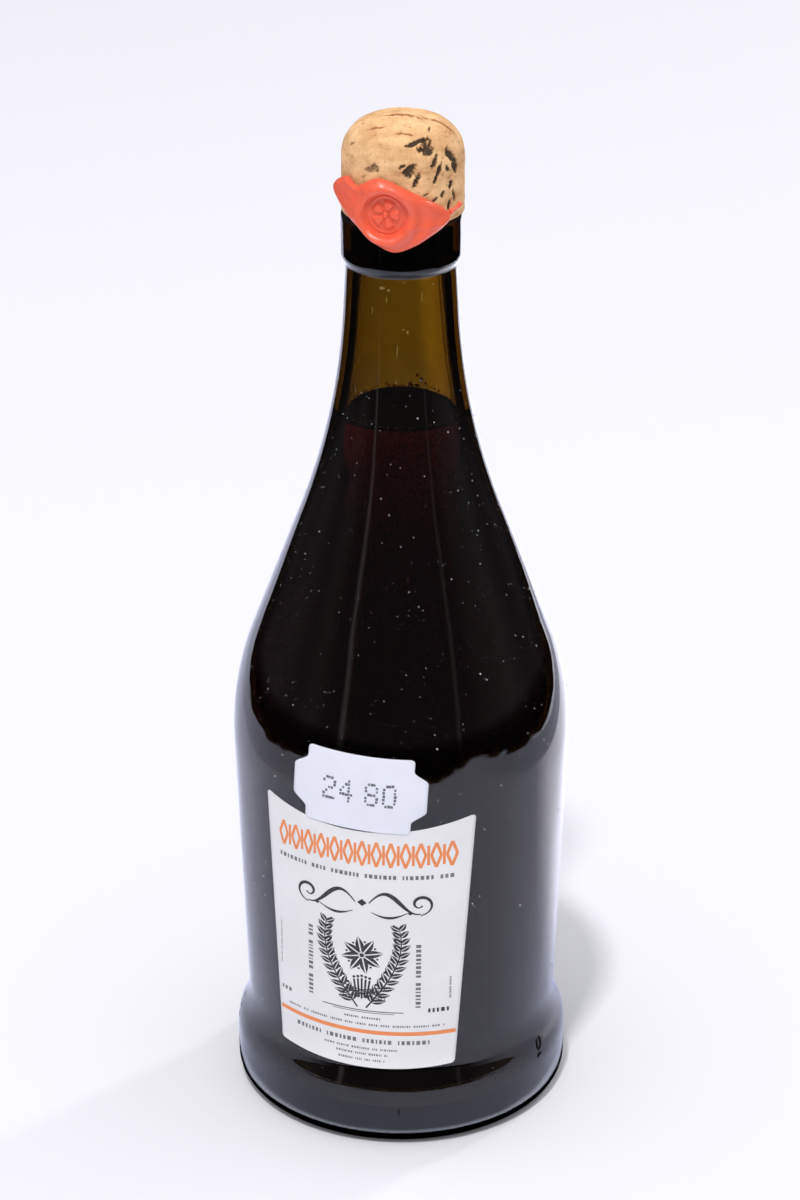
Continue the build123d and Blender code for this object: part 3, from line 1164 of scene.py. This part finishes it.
def wax_thread():
    """Thread that the wax drew out as the stamp left it: a thin neck and a bead on the lip.

    A tube round an arc; its radius has a ridge at the bead and closes at both ends.
    """
    w = settings().wax
    count = 26
    along = np.linspace(0, 1, count)
    bearing = w.azimuth + np.radians(62 + 19 * along)
    height = LIP * MM + (2.1 + 0.9 * along**2) * MM
    reach = settings().cork.radius + 0.45 * MM
    centre = np.stack([reach * np.sin(bearing), -reach * np.cos(bearing), height], -1)
    thick = (0.34 + 0.30 * ridge(along, 0.82, 0.16) + 0.5 * (1 - along) ** 4) * MM
    thick *= np.sqrt(np.clip(1 - np.abs(2 * along - 1) ** 12, 0, 1))
    turn = np.linspace(0, 2 * np.pi, 12, endpoint=False)
    outward = np.stack([np.sin(bearing), -np.cos(bearing), 0 * bearing], -1)
    points = centre[:, None] + thick[:, None, None] * (
        np.cos(turn)[None, :, None] * outward[:, None]
        + np.sin(turn)[None, :, None] * np.array([0, 0, 1])
    )
    return points.reshape(-1, 3), grid_faces(count, 12, True)


class BOTTLE_OT_wax(bpy.types.Operator):
    """Sealing wax with the stamp's flat and the thread that it drew out"""

    bl_idname = "bottle.wax"
    bl_label = "Wax seal"

    def execute(self, context):
        material = wax_material()
        points, faces = wax_blob()
        blob = make_object("wax_blob", points, faces, material, solid=True, merge=2e-6)
        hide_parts("wax_seal")
        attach(blob, "root")
        points, faces = wax_thread()
        thread = make_object("wax_thread", points, faces, material, solid=True, merge=2e-6)
        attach(thread, "root")
        return {"FINISHED"}


# ---------------------------------------------------------------- print


def ribbon(path, width, step=0.7):
    """Flat strip along a path: points half a width to each side of it, square to its direction.

    A leaf or a disc is a strip whose width swells and closes. Millimetres on the paper.
    """
    path = np.asarray(path, float)
    width = np.broadcast_to(np.asarray(width, float), len(path))
    both = resampled(np.column_stack([path, width]), step)
    tangent = np.gradient(both[:, :2], axis=0)
    tangent /= np.linalg.norm(tangent, axis=1)[:, None] + 1e-12
    side = np.stack([-tangent[:, 1], tangent[:, 0]], 1) * both[:, 2:] / 2
    points = np.stack([both[:, :2] - side, both[:, :2] + side], 1)
    return points.reshape(-1, 2), grid_faces(len(points), 2, False)


def bar(x0, x1, y, height):
    """Level bar."""
    return ribbon([(x0, y), (x1, y)], height)


def leaf(start, way, long, wide, gap=0.12):
    """Leaf in two halves with a bare midrib: each half is a strip that bulges to its side."""
    t = np.linspace(0, 1, 9)
    direction = np.array([math.cos(way), math.sin(way)])
    side = np.array([-direction[1], direction[0]])
    swell = wide / 2 * np.sin(np.pi * t**0.8)
    halves = []
    for sign in (-1, 1):
        middle = np.asarray(start) + t[:, None] * long * direction
        middle = middle + sign * side * (swell / 2 + gap / 2)[:, None]
        halves.append(ribbon(middle, np.maximum(swell - gap / 2, 0.05), 0.45))
    return halves


def disc(x, y, radius):
    """Disc as a strip whose width follows a circle."""
    t = np.cos(np.linspace(np.pi, 0, 9))
    path = np.stack([x + radius * t * 0.999, np.full(9, y)], 1)
    return ribbon(path, 2 * radius * np.sqrt(1 - (0.995 * t) ** 2), radius / 3)


def blank_text(x0, x1, y, height, seed, upright=False):
    """Line of small plain blocks in groups, where a line of words would stand."""
    rng = np.random.default_rng(seed)
    parts = []
    x = x0
    while x < x1:
        for _ in range(rng.integers(3, 9)):
            wide = rng.uniform(0.16, 0.46) * height
            if x + wide > x1:
                break
            stroke = [(x, y), (x + wide, y)]
            if upright:
                stroke = [(y, x), (y, x + wide)]
            parts.append(ribbon(stroke, 0.58 * height, height))
            x += wide + 0.24 * height
        x += 0.55 * height
    return parts


def title_band(width):
    """Ornamental band: tall slim lozenges in outline, with a bar between each pair."""
    parts = []
    count = 13
    for place in range(count):
        x = -width + 2 * width * (place + 0.5) / count
        for sign in (-1, 1):
            path = [(x, 27.0), (x + sign * 1.05, 23.8), (x, 20.6)]
            parts.append(ribbon(path, 0.62, 0.5))
        if place < count - 1:
            gap = width / count
            parts.append(ribbon([(x + gap, 21.2), (x + gap, 26.4)], 0.6))
    return parts


def flourish():
    """Two mirrored pen scrolls that meet at a small lozenge: a wave that runs into a spiral."""
    parts = []
    for sign in (-1, 1):
        t = np.linspace(0, 1, 40)
        x = 1.6 + 11.5 * t
        y = 10.8 + 2.9 * np.sin(2 * np.pi * t * 0.78) * (1 - 0.15 * t)
        width = 0.30 + 0.75 * np.sin(np.pi * t) ** 2
        parts.append(ribbon(np.stack([sign * x, y], 1), width, 0.4))
        turn = np.linspace(0, 2.3 * np.pi, 50)
        radius = 2.9 * (1 - turn / (2.75 * np.pi))
        x = 13.1 + radius * np.sin(turn)
        y = 10.9 - radius * np.cos(turn)
        parts.append(ribbon(np.stack([sign * x, y], 1), 0.3 + 0.5 * np.sin(turn / 2) ** 2, 0.35))
        t = np.linspace(0, 1, 30)
        x = 2.2 + 8.2 * t
        y = 8.4 - 1.3 * np.sin(np.pi * t) + 0.3 * t
        parts.append(ribbon(np.stack([sign * x, y], 1), 0.2 + 0.45 * np.sin(np.pi * t) ** 2, 0.4))
        parts.append(disc(sign * 10.9, 8.6, 0.45))
    parts.append(ribbon([(-1.1, 10.8), (0, 10.8), (1.1, 10.8)], [0.05, 1.9, 0.05], 0.25))
    return parts


def sprig_wreath():
    """Two leafy branches that curve up from a knot, with berries, round a star-shaped spice."""
    parts = []
    for sign in (-1, 1):
        t = np.linspace(0, 1, 30)
        x = sign * (1.0 + 8.0 * np.sin(np.pi * 0.60 * t))
        y = -17.6 + 21.5 * t
        parts.append(ribbon(np.stack([x, y], 1), 0.42 - 0.2 * t, 0.5))
        for place in np.linspace(0.08, 1.0, 12):
            px = np.interp(place, t, x)
            py = np.interp(place, t, y)
            slope = math.atan2(21.5, sign * 8.0 * np.pi * 0.6 * math.cos(np.pi * 0.6 * place))
            for side in (-1, 1):
                way = slope + side * 0.85
                parts += leaf((px, py), way, 3.3 - 0.9 * place, 1.35)
            parts.append(disc(px - sign * 1.3, py + 1.2, 0.34))
    for arm in range(8):
        way = arm * np.pi / 4 + 0.2
        parts += leaf((0.7 * math.cos(way), -3.4 + 0.7 * math.sin(way)), way, 4.3, 1.9, 0.22)
        parts.append(disc(3.7 * math.cos(way + 0.39), -3.4 + 3.7 * math.sin(way + 0.39), 0.28))
    parts.append(disc(0, -3.4, 0.55))
    for place in range(-2, 3):
        x = 0.62 * place
        path = [(x, -15.2 + 0.3 * abs(place)), (x * 1.5, -9.6 - 0.25 * abs(place))]
        parts.append(ribbon(path, 0.46, 0.8))
        parts.append(disc(x * 1.5, -9.0 - 0.25 * abs(place), 0.36))
    for lean in (-1, 1):
        for shift in (-0.5, 0.5):
            path = [(-5.6, -13.4 - lean * 1.4 + shift), (5.6, -13.4 + lean * 1.4 + shift)]
            parts.append(ribbon(path, 0.26, 0.6))
        for place in np.linspace(-5.2, 5.2, 16):
            y = -13.4 + lean * 1.4 * place / 5.6
            parts.append(ribbon([(place, y - 0.45), (place + 0.25, y + 0.3)], 0.13))
    parts.append(bar(-9.6, 9.6, -18.4, 0.22))
    parts.append(bar(-7.0, 7.5, -18.9, 0.14))
    return parts


def orange_print():
    width = settings().paper.foot_half / MM
    return title_band(21.2) + [bar(-width - 0.05, width + 0.05, -24.2, 1.05)]


def black_print():
    return flourish() + sprig_wreath() + blank_text(15.0, 20.3, -17.9, 1.9, 51)


def grey_print():
    parts = blank_text(-20.6, 20.6, 18.0, 1.8, 2)
    parts += blank_text(-18.6, 18.6, -22.2, 0.95, 3)
    parts += blank_text(-4.2, 5.2, -20.4, 0.95, 4)
    parts += blank_text(-16.4, 16.0, -26.7, 1.9, 5)
    parts += blank_text(-9.2, 9.2, -28.9, 0.95, 6)
    parts += blank_text(-6.2, 6.4, -30.4, 0.9, 7)
    parts += blank_text(-5.6, 5.6, -31.9, 0.9, 8)
    parts += blank_text(-17.0, 2.6, -12.6, 1.9, 9, upright=True)
    parts += blank_text(-17.0, 1.0, 12.8, 1.9, 10, upright=True)
    parts += blank_text(-12.0, 0.0, -20.6, 0.5, 12, upright=True)
    parts += blank_text(-15.0, -9.0, 19.6, 0.7, 13, upright=True)
    parts += blank_text(-20.6, -17.6, -18.6, 1.7, 14)
    return parts


# Plain numerals on the sticker, each five dots wide and seven high, as rows of dots
NUMERALS = {
    "2": ("01110", "10001", "00001", "00110", "01000", "10000", "11111"),
    "4": ("00010", "00110", "01010", "10010", "11111", "00010", "00010"),
    "8": ("01110", "10001", "10001", "01110", "10001", "10001", "01110"),
    "0": ("01110", "10001", "10001", "10001", "10001", "10001", "01110"),
}


def sticker_numerals():
    """Worn dotted numerals, each dot a small square that differs a little from the next."""
    rng = np.random.default_rng(17)
    parts = []
    for numeral, x0 in (("2", -7.6), ("4", -3.6), ("8", 2.2), ("0", 6.2)):
        for row, dots in enumerate(NUMERALS[numeral]):
            for column in (k for k, dot in enumerate(dots) if dot == "1"):
                x = x0 + 0.62 * column + rng.normal(0, 0.03) - 0.5
                y = 2.7 - 0.84 * row + rng.normal(0, 0.03)
                size = rng.uniform(0.45, 0.66)
                parts.append(ribbon([(x, y), (x + size, y)], size * 1.15, 0.4))
    return parts


def printed(name, parts, material, place, lift):
    """Joins flat strips and lays them on the paper."""
    points, faces = joined(parts)
    azimuth, turn, centre = place
    spots = pasted(points[:, 0] * MM, points[:, 1] * MM, azimuth, turn, centre, lift)
    ink = make_object(name, spots, faces, material)
    outward = np.array([f.normal[:] for f in ink.data.polygons])
    centres = np.array([f.center[:] for f in ink.data.polygons])
    if (outward[:, :2] * centres[:, :2]).sum() < 0:
        ink.data.flip_normals()
    return ink


def sheet_rows(count):
    """Rows from -1 to 1, close together near both ends."""
    return np.sin(np.linspace(-1, 1, count) * np.pi / 2)[:, None]


def label_sheet():
    """Label: tapered sides, a top edge that dips, a bottom edge that bulges, rounded corners."""
    p = settings().paper
    up = sheet_rows(110)
    u = np.linspace(-1, 1, 70)[None]
    half = p.height / 2
    share = (up + 1) / 2
    width = p.foot_half + (p.top_half - p.foot_half) * share
    near = np.clip((np.abs(up) * half - (half - p.corner)) / p.corner, 0, 1)
    width = width - p.corner * (1 - np.sqrt(1 - near**2))
    top = half - p.sag * (1 - u**2)
    foot = -half - p.belly * (1 - u**2)
    return u * width, foot + (top - foot) * share


def sticker_sheet():
    """Sticker: a plaque whose sides swell out across the middle on smooth steps."""
    p = settings().paper
    up = np.linspace(-1, 1, 64)[:, None] * p.sticker_height / 2
    u = np.linspace(-1, 1, 48)[None]
    swell = 1 - smooth(p.sticker_side, p.sticker_shoulder, np.abs(up))
    width = p.sticker_end_half + (p.sticker_mid_half - p.sticker_end_half) * swell
    near = np.clip((np.abs(up) - p.sticker_height / 2 + 0.9 * MM) / (0.9 * MM), 0, 1)
    return u * (width - 0.9 * MM * (1 - np.sqrt(1 - near**2))), up + 0 * u


def pasted_sheet(name, sheet, place, lift, thickness, material):
    """Paper of a given thickness laid on the glass."""
    across, up = sheet
    points = pasted(across, up, *place, lift + thickness)
    faces = grid_faces(*across.shape, False)
    paper = make_object(name, points, faces, material)
    if sum(face.normal.y for face in paper.data.polygons[:50]) > 0:
        paper.data.flip_normals()
    wall = paper.modifiers.new("paper", "SOLIDIFY")
    wall.thickness = thickness
    wall.offset = -1
    return paper


class BOTTLE_OT_label(bpy.types.Operator):
    """Paper label and its printed shapes"""

    bl_idname = "bottle.label"
    bl_label = "Label"

    def execute(self, context):
        p = settings().paper
        centre = (LABEL_FOOT + p.belly / MM) * MM + p.height / 2
        place = (p.azimuth, p.turn, centre)
        lift = LABEL_LIFT * MM
        paper = paper_material("label_paper", p.white, 0.42)
        sheet = pasted_sheet("label_sheet", label_sheet(), place, lift, p.thickness, paper)
        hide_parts("label")
        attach(sheet, "root")
        inks = (
            ("orange_print", orange_print(), p.orange, 0.12),
            ("black_print", black_print(), p.black, 0.10),
            ("grey_print", grey_print(), p.grey, 0.25),
        )
        for name, parts, shade, patchy in inks:
            material = ink_material(name + "_ink", shade, patchy)
            ink = printed(name, parts, material, place, lift + p.thickness + INK_LIFT * MM)
            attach(ink, "root")
        return {"FINISHED"}


class BOTTLE_OT_sticker(bpy.types.Operator):
    """Price sticker with plain numerals"""

    bl_idname = "bottle.sticker"
    bl_label = "Price sticker"

    def execute(self, context):
        p = settings().paper
        place = (p.sticker_azimuth, p.sticker_turn, STICKER_MIDDLE * MM)
        lift = STICKER_LIFT * MM
        paper = paper_material("sticker_paper", p.sticker_white, 0.5)
        sheet = pasted_sheet("sticker_sheet", sticker_sheet(), place, lift, p.thickness, paper)
        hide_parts("price_sticker")
        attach(sheet, "root")
        material = ink_material("stamp_ink", STAMP_INK, 0.4)
        over = lift + p.thickness + INK_LIFT * MM
        ink = printed("sticker_numerals", sticker_numerals(), material, place, over)
        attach(ink, "root")
        return {"FINISHED"}


class BOTTLE_OT_dust(bpy.types.Operator):
    """Dust and lint on the outside of the glass"""

    bl_idname = "bottle.dust"
    bl_label = "Dust"

    def execute(self, context):
        rng = np.random.default_rng(29)
        parts = []
        for _ in range(DUST_SPECKS):
            bearing = rng.uniform(-np.pi, np.pi)
            height = rng.triangular(8, 112, 200) * MM
            size = min(rng.exponential(0.045) + 0.04, 0.24) * MM
            flat = (0.5 + 0.5 * abs(math.cos(bearing)), 0.5 + 0.5 * abs(math.sin(bearing)), 1)
            parts.append(ball(on_side(bearing, height, size * 0.3), size, flat, rows=4, columns=5))
        points, faces = joined(parts)
        grey = plain_material("dust", DUST, 0.9)
        dust = make_object("dust", points, faces, grey, solid=True, merge=1e-7)
        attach(dust, "root")
        return {"FINISHED"}


# ---------------------------------------------------------------- stage


# What stands in the room around, as the glass mirrors it: bearing from -Y towards +X in degrees,
# half its width, and how much brighter than the room it is.
ROOM_STRIPES = [
    (-41, 1.6, 0.42),
    (-66, 9.0, 0.06),
    (40, 1.3, 0.16),
    (62, 8.0, 0.05),
    (84, 12.0, 0.10),
    (-96, 12.0, 0.06),
]


BLACK = (0.0, 0.0, 0.0)


def room_light(nodes, x, y, share=1.0):
    """Room's brightness by bearing: dim, with soft upright stripes, all times a share."""
    s = settings().stage
    bearing = nodes.add("Math", {"operation": "ARCTAN2"}, x, y * -1.0)[0]
    glow = 0.0
    for degrees, half, strength in ROOM_STRIPES:
        away = nodes.size(bearing - math.radians(degrees))
        spread = math.radians(half)
        glow = (nodes.band(away * -1.0, -2 * spread, 0.0) * strength) + glow
    bright = nodes.mix(glow, tuple(s.room), (1.0, 0.97, 0.96))
    return nodes.glow(nodes.mix(share, BLACK, bright))


def floor_material():
    """Pale floor. Glass mirrors it as a sheet, bluer than seen straight, with the room beyond.

    Mirrored only, painted: a highlight line and a black painted shade under the foot's edge, by
    the distance from the bottle's axis, and a painted brighter field behind it at the right. Far
    away it runs into the backdrop.
    """
    s = settings().stage
    material, n, output = new_material("pale_floor")
    x, y, _ = n.add("SeparateXYZ", None, n.place())
    path = n.add("LightPath")
    straight, glossy = path[0], path[3]
    glassy = n.larger(glossy, path[6])
    away = (x * x + y * y) ** 0.5
    matt = tuple(channel * s.floor_share for channel in s.pale)
    paper = n.add("BsdfPrincipled", None, Base_Color=matt, Roughness=0.9, IOR=1.3)[0]
    cool = n.glow(n.mix(glossy, BLACK, tuple(s.mirrored)))
    # Painted highlight: a light line round the foot, seen only in the glass
    line_start = s.foot_shade
    line_full = line_start + 1.5 * MM
    line = n.band(away, line_start, line_full)
    line = line - n.band(away, line_full + 0.5 * MM, line_full + 3 * MM)
    line = line * n.band(y / away * -1.0, -0.1, 0.95)
    gleam = n.glow(n.mix(line * glossy, BLACK, (0.80, 0.86, 1.0)), s.gleam)
    # Painted reflection: a brighter field behind at the right, seen only in the glass
    field = n.band(x, 0.03, 0.10) * n.band(y, 0.015, 0.075)
    flare = n.glow(n.mix(field * glossy, BLACK, (0.97, 0.96, 1.0)), s.flare)
    lit = paper
    for light in (cool, gleam, flare):
        lit = n.add("AddShader", None, lit, light)[0]
    # Painted shade: black under the foot's edge, seen only in the glass
    under = n.band(away * -1.0, -line_full, -line_start)
    shaded = n.add("MixShader", None, under * glossy, lit, n.glow(BLACK))[0]
    wobble = n.noise(n.place(), 9.0, 1.0) * 0.16 - 0.08
    soft = s.sheet_edge
    front = n.band(y * -1.0 + wobble, s.sheet_front - soft, s.sheet_front + soft)
    flank = n.band(n.size(x) + wobble, s.sheet_side - soft, s.sheet_side + soft)
    far = n.band(away, 0.45, 1.6) * 0.9 + 0.1
    room = room_light(n, x, y, far)
    mixed = n.add("MixShader", None, glassy * n.larger(front, flank), shaded, room)[0]
    horizon = n.band(away, 0.9, 2.2) * straight
    blended = n.add("MixShader", None, horizon, mixed, n.glow(tuple(s.pale)))[0]
    n.tree.links.new(blended.socket, output.inputs["Surface"])
    return material


def surroundings():
    """World: pale behind the floor, the dim room where the glass mirrors it, soft light above."""
    s = settings().stage
    world = bpy.data.worlds.new("surroundings")
    bpy.context.scene.world = world
    world.use_nodes = True
    world.node_tree.nodes.clear()
    n = Nodes(world.node_tree)
    output = world.node_tree.nodes.new("ShaderNodeOutputWorld")
    x, y, z = n.add("SeparateXYZ", None, n.add("TexCoord")[0])
    path = n.add("LightPath")
    diffuse = path[2]
    glassy = n.larger(path[3], path[6])
    pale = n.add("Background", None, Color=tuple(s.pale), Strength=1.0)[0]
    seen = n.add("MixShader", None, glassy, pale, room_light(n, x, y))[0]
    above = n.mix(n.band(z, 0.0, 0.6), BLACK, (0.97, 0.975, 1.0))
    soft = n.add("Background", None, Color=above, Strength=s.sky)[0]
    mixed = n.add("MixShader", None, diffuse, seen, soft)[0]
    n.tree.links.new(mixed.socket, output.inputs["Surface"])


def lamp(name, place, aim, size, power, shade=(1, 1, 1)):
    """Square soft lamp at a place, aimed at a point; it isn't seen through the glass."""
    data = bpy.data.lights.new(name, "AREA")
    data.size = size
    data.energy = power
    data.color = shade
    obj = bpy.data.objects.new(name, data)
    bpy.context.scene.collection.objects.link(obj)
    way = np.asarray(aim, float) - np.asarray(place, float)
    flat = math.hypot(way[0], way[1])
    obj.location = place
    obj.rotation_euler = (math.pi / 2 + math.atan2(way[2], flat), 0, math.atan2(-way[0], way[1]))
    obj.visible_transmission = False


def side_card(name, x):
    """Low pale card beside the bottle, seen only by mirrored rays; its near end fades out."""
    s = settings().stage
    near, faded, far, high = -0.24, -0.04, 0.9, s.card_height
    points = np.array([(x, near, 0), (x, far, 0), (x, far, high), (x, near, high)], float)
    material, n, output = new_material(name)
    glossy = n.add("LightPath")[3]
    tone = n.mix(1.0, tuple(s.pale), tuple(s.mirrored), "ADD")
    clear = n.add("BsdfTransparent")[0]
    along = n.band(n.add("SeparateXYZ", None, n.place())[1], near, faded)
    mixed = n.add("MixShader", None, glossy * along, clear, n.glow(tone, s.card_light))[0]
    n.tree.links.new(mixed.socket, output.inputs["Surface"])
    make_object(name, points, np.array([[0, 1, 2, 3]]), material)


class BOTTLE_OT_stage(bpy.types.Operator):
    """Camera, floor, surroundings and lamps"""

    bl_idname = "bottle.stage"
    bl_label = "Stage"

    def execute(self, context):
        s = settings().stage
        camera = bpy.data.objects.new("camera", bpy.data.cameras.new("camera"))
        context.scene.collection.objects.link(camera)
        camera.data.lens = s.lens
        camera.data.sensor_width = 36
        camera.data.clip_start = 0.01
        camera.location = (
            s.aim_side,
            -s.distance * math.cos(s.elevation),
            s.aim_height + s.distance * math.sin(s.elevation),
        )
        camera.rotation_euler = (math.pi / 2 - s.elevation, 0, 0)
        context.scene.camera = camera
        end = 4.0
        corners = np.array([(-end, -end, 0), (end, -end, 0), (end, end, 0), (-end, end, 0)])
        floor = make_object("floor", corners, np.array([[0, 1, 2, 3]]), floor_material())
        side_card("card_left", -s.card_side)
        side_card("card_right", s.card_side)
        surroundings()
        middle = (0, 0, 0.12)
        lamp("key", (-0.28, -1.05, 2.35), middle, 0.18, s.key, (1.0, 0.99, 0.97))
        lamp("back", (1.55, 1.50, 1.60), middle, 0.20, s.back, (1.0, 0.98, 0.95))
        context.scene.view_settings.view_transform = "Standard"
        return {"FINISHED"}


class BOTTLE_PT_panel(bpy.types.Panel):
    """Lists the pieces in the order in which they are made"""

    bl_label = "Corked vinegar bottle"
    bl_idname = "BOTTLE_PT_panel"
    bl_space_type = "VIEW_3D"
    bl_region_type = "UI"
    bl_category = "Bottle"

    def draw(self, context):
        column = self.layout.column()
        for operator in OPERATORS:
            column.operator(operator.bl_idname)


GROUPS = (
    GlassSizes,
    VinegarLook,
    CorkSizes,
    WaxSizes,
    PaperSizes,
    StageLook,
    BottleSettings,
)
OPERATORS = (
    BOTTLE_OT_glass,
    BOTTLE_OT_vinegar,
    BOTTLE_OT_cork,
    BOTTLE_OT_wax,
    BOTTLE_OT_label,
    BOTTLE_OT_sticker,
    BOTTLE_OT_dust,
    BOTTLE_OT_stage,
)


def register():
    for cls in (*GROUPS, *OPERATORS, BOTTLE_PT_panel):
        bpy.utils.register_class(cls)
    bpy.types.Scene.bottle = PointerProperty(type=BottleSettings)


def unregister():
    del bpy.types.Scene.bottle
    for cls in reversed((*GROUPS, *OPERATORS, BOTTLE_PT_panel)):
        bpy.utils.unregister_class(cls)


def main():
    register()
    for operator in OPERATORS:
        group, name = operator.bl_idname.split(".")
        getattr(getattr(bpy.ops, group), name)()


if __name__ == "__main__":
    main()
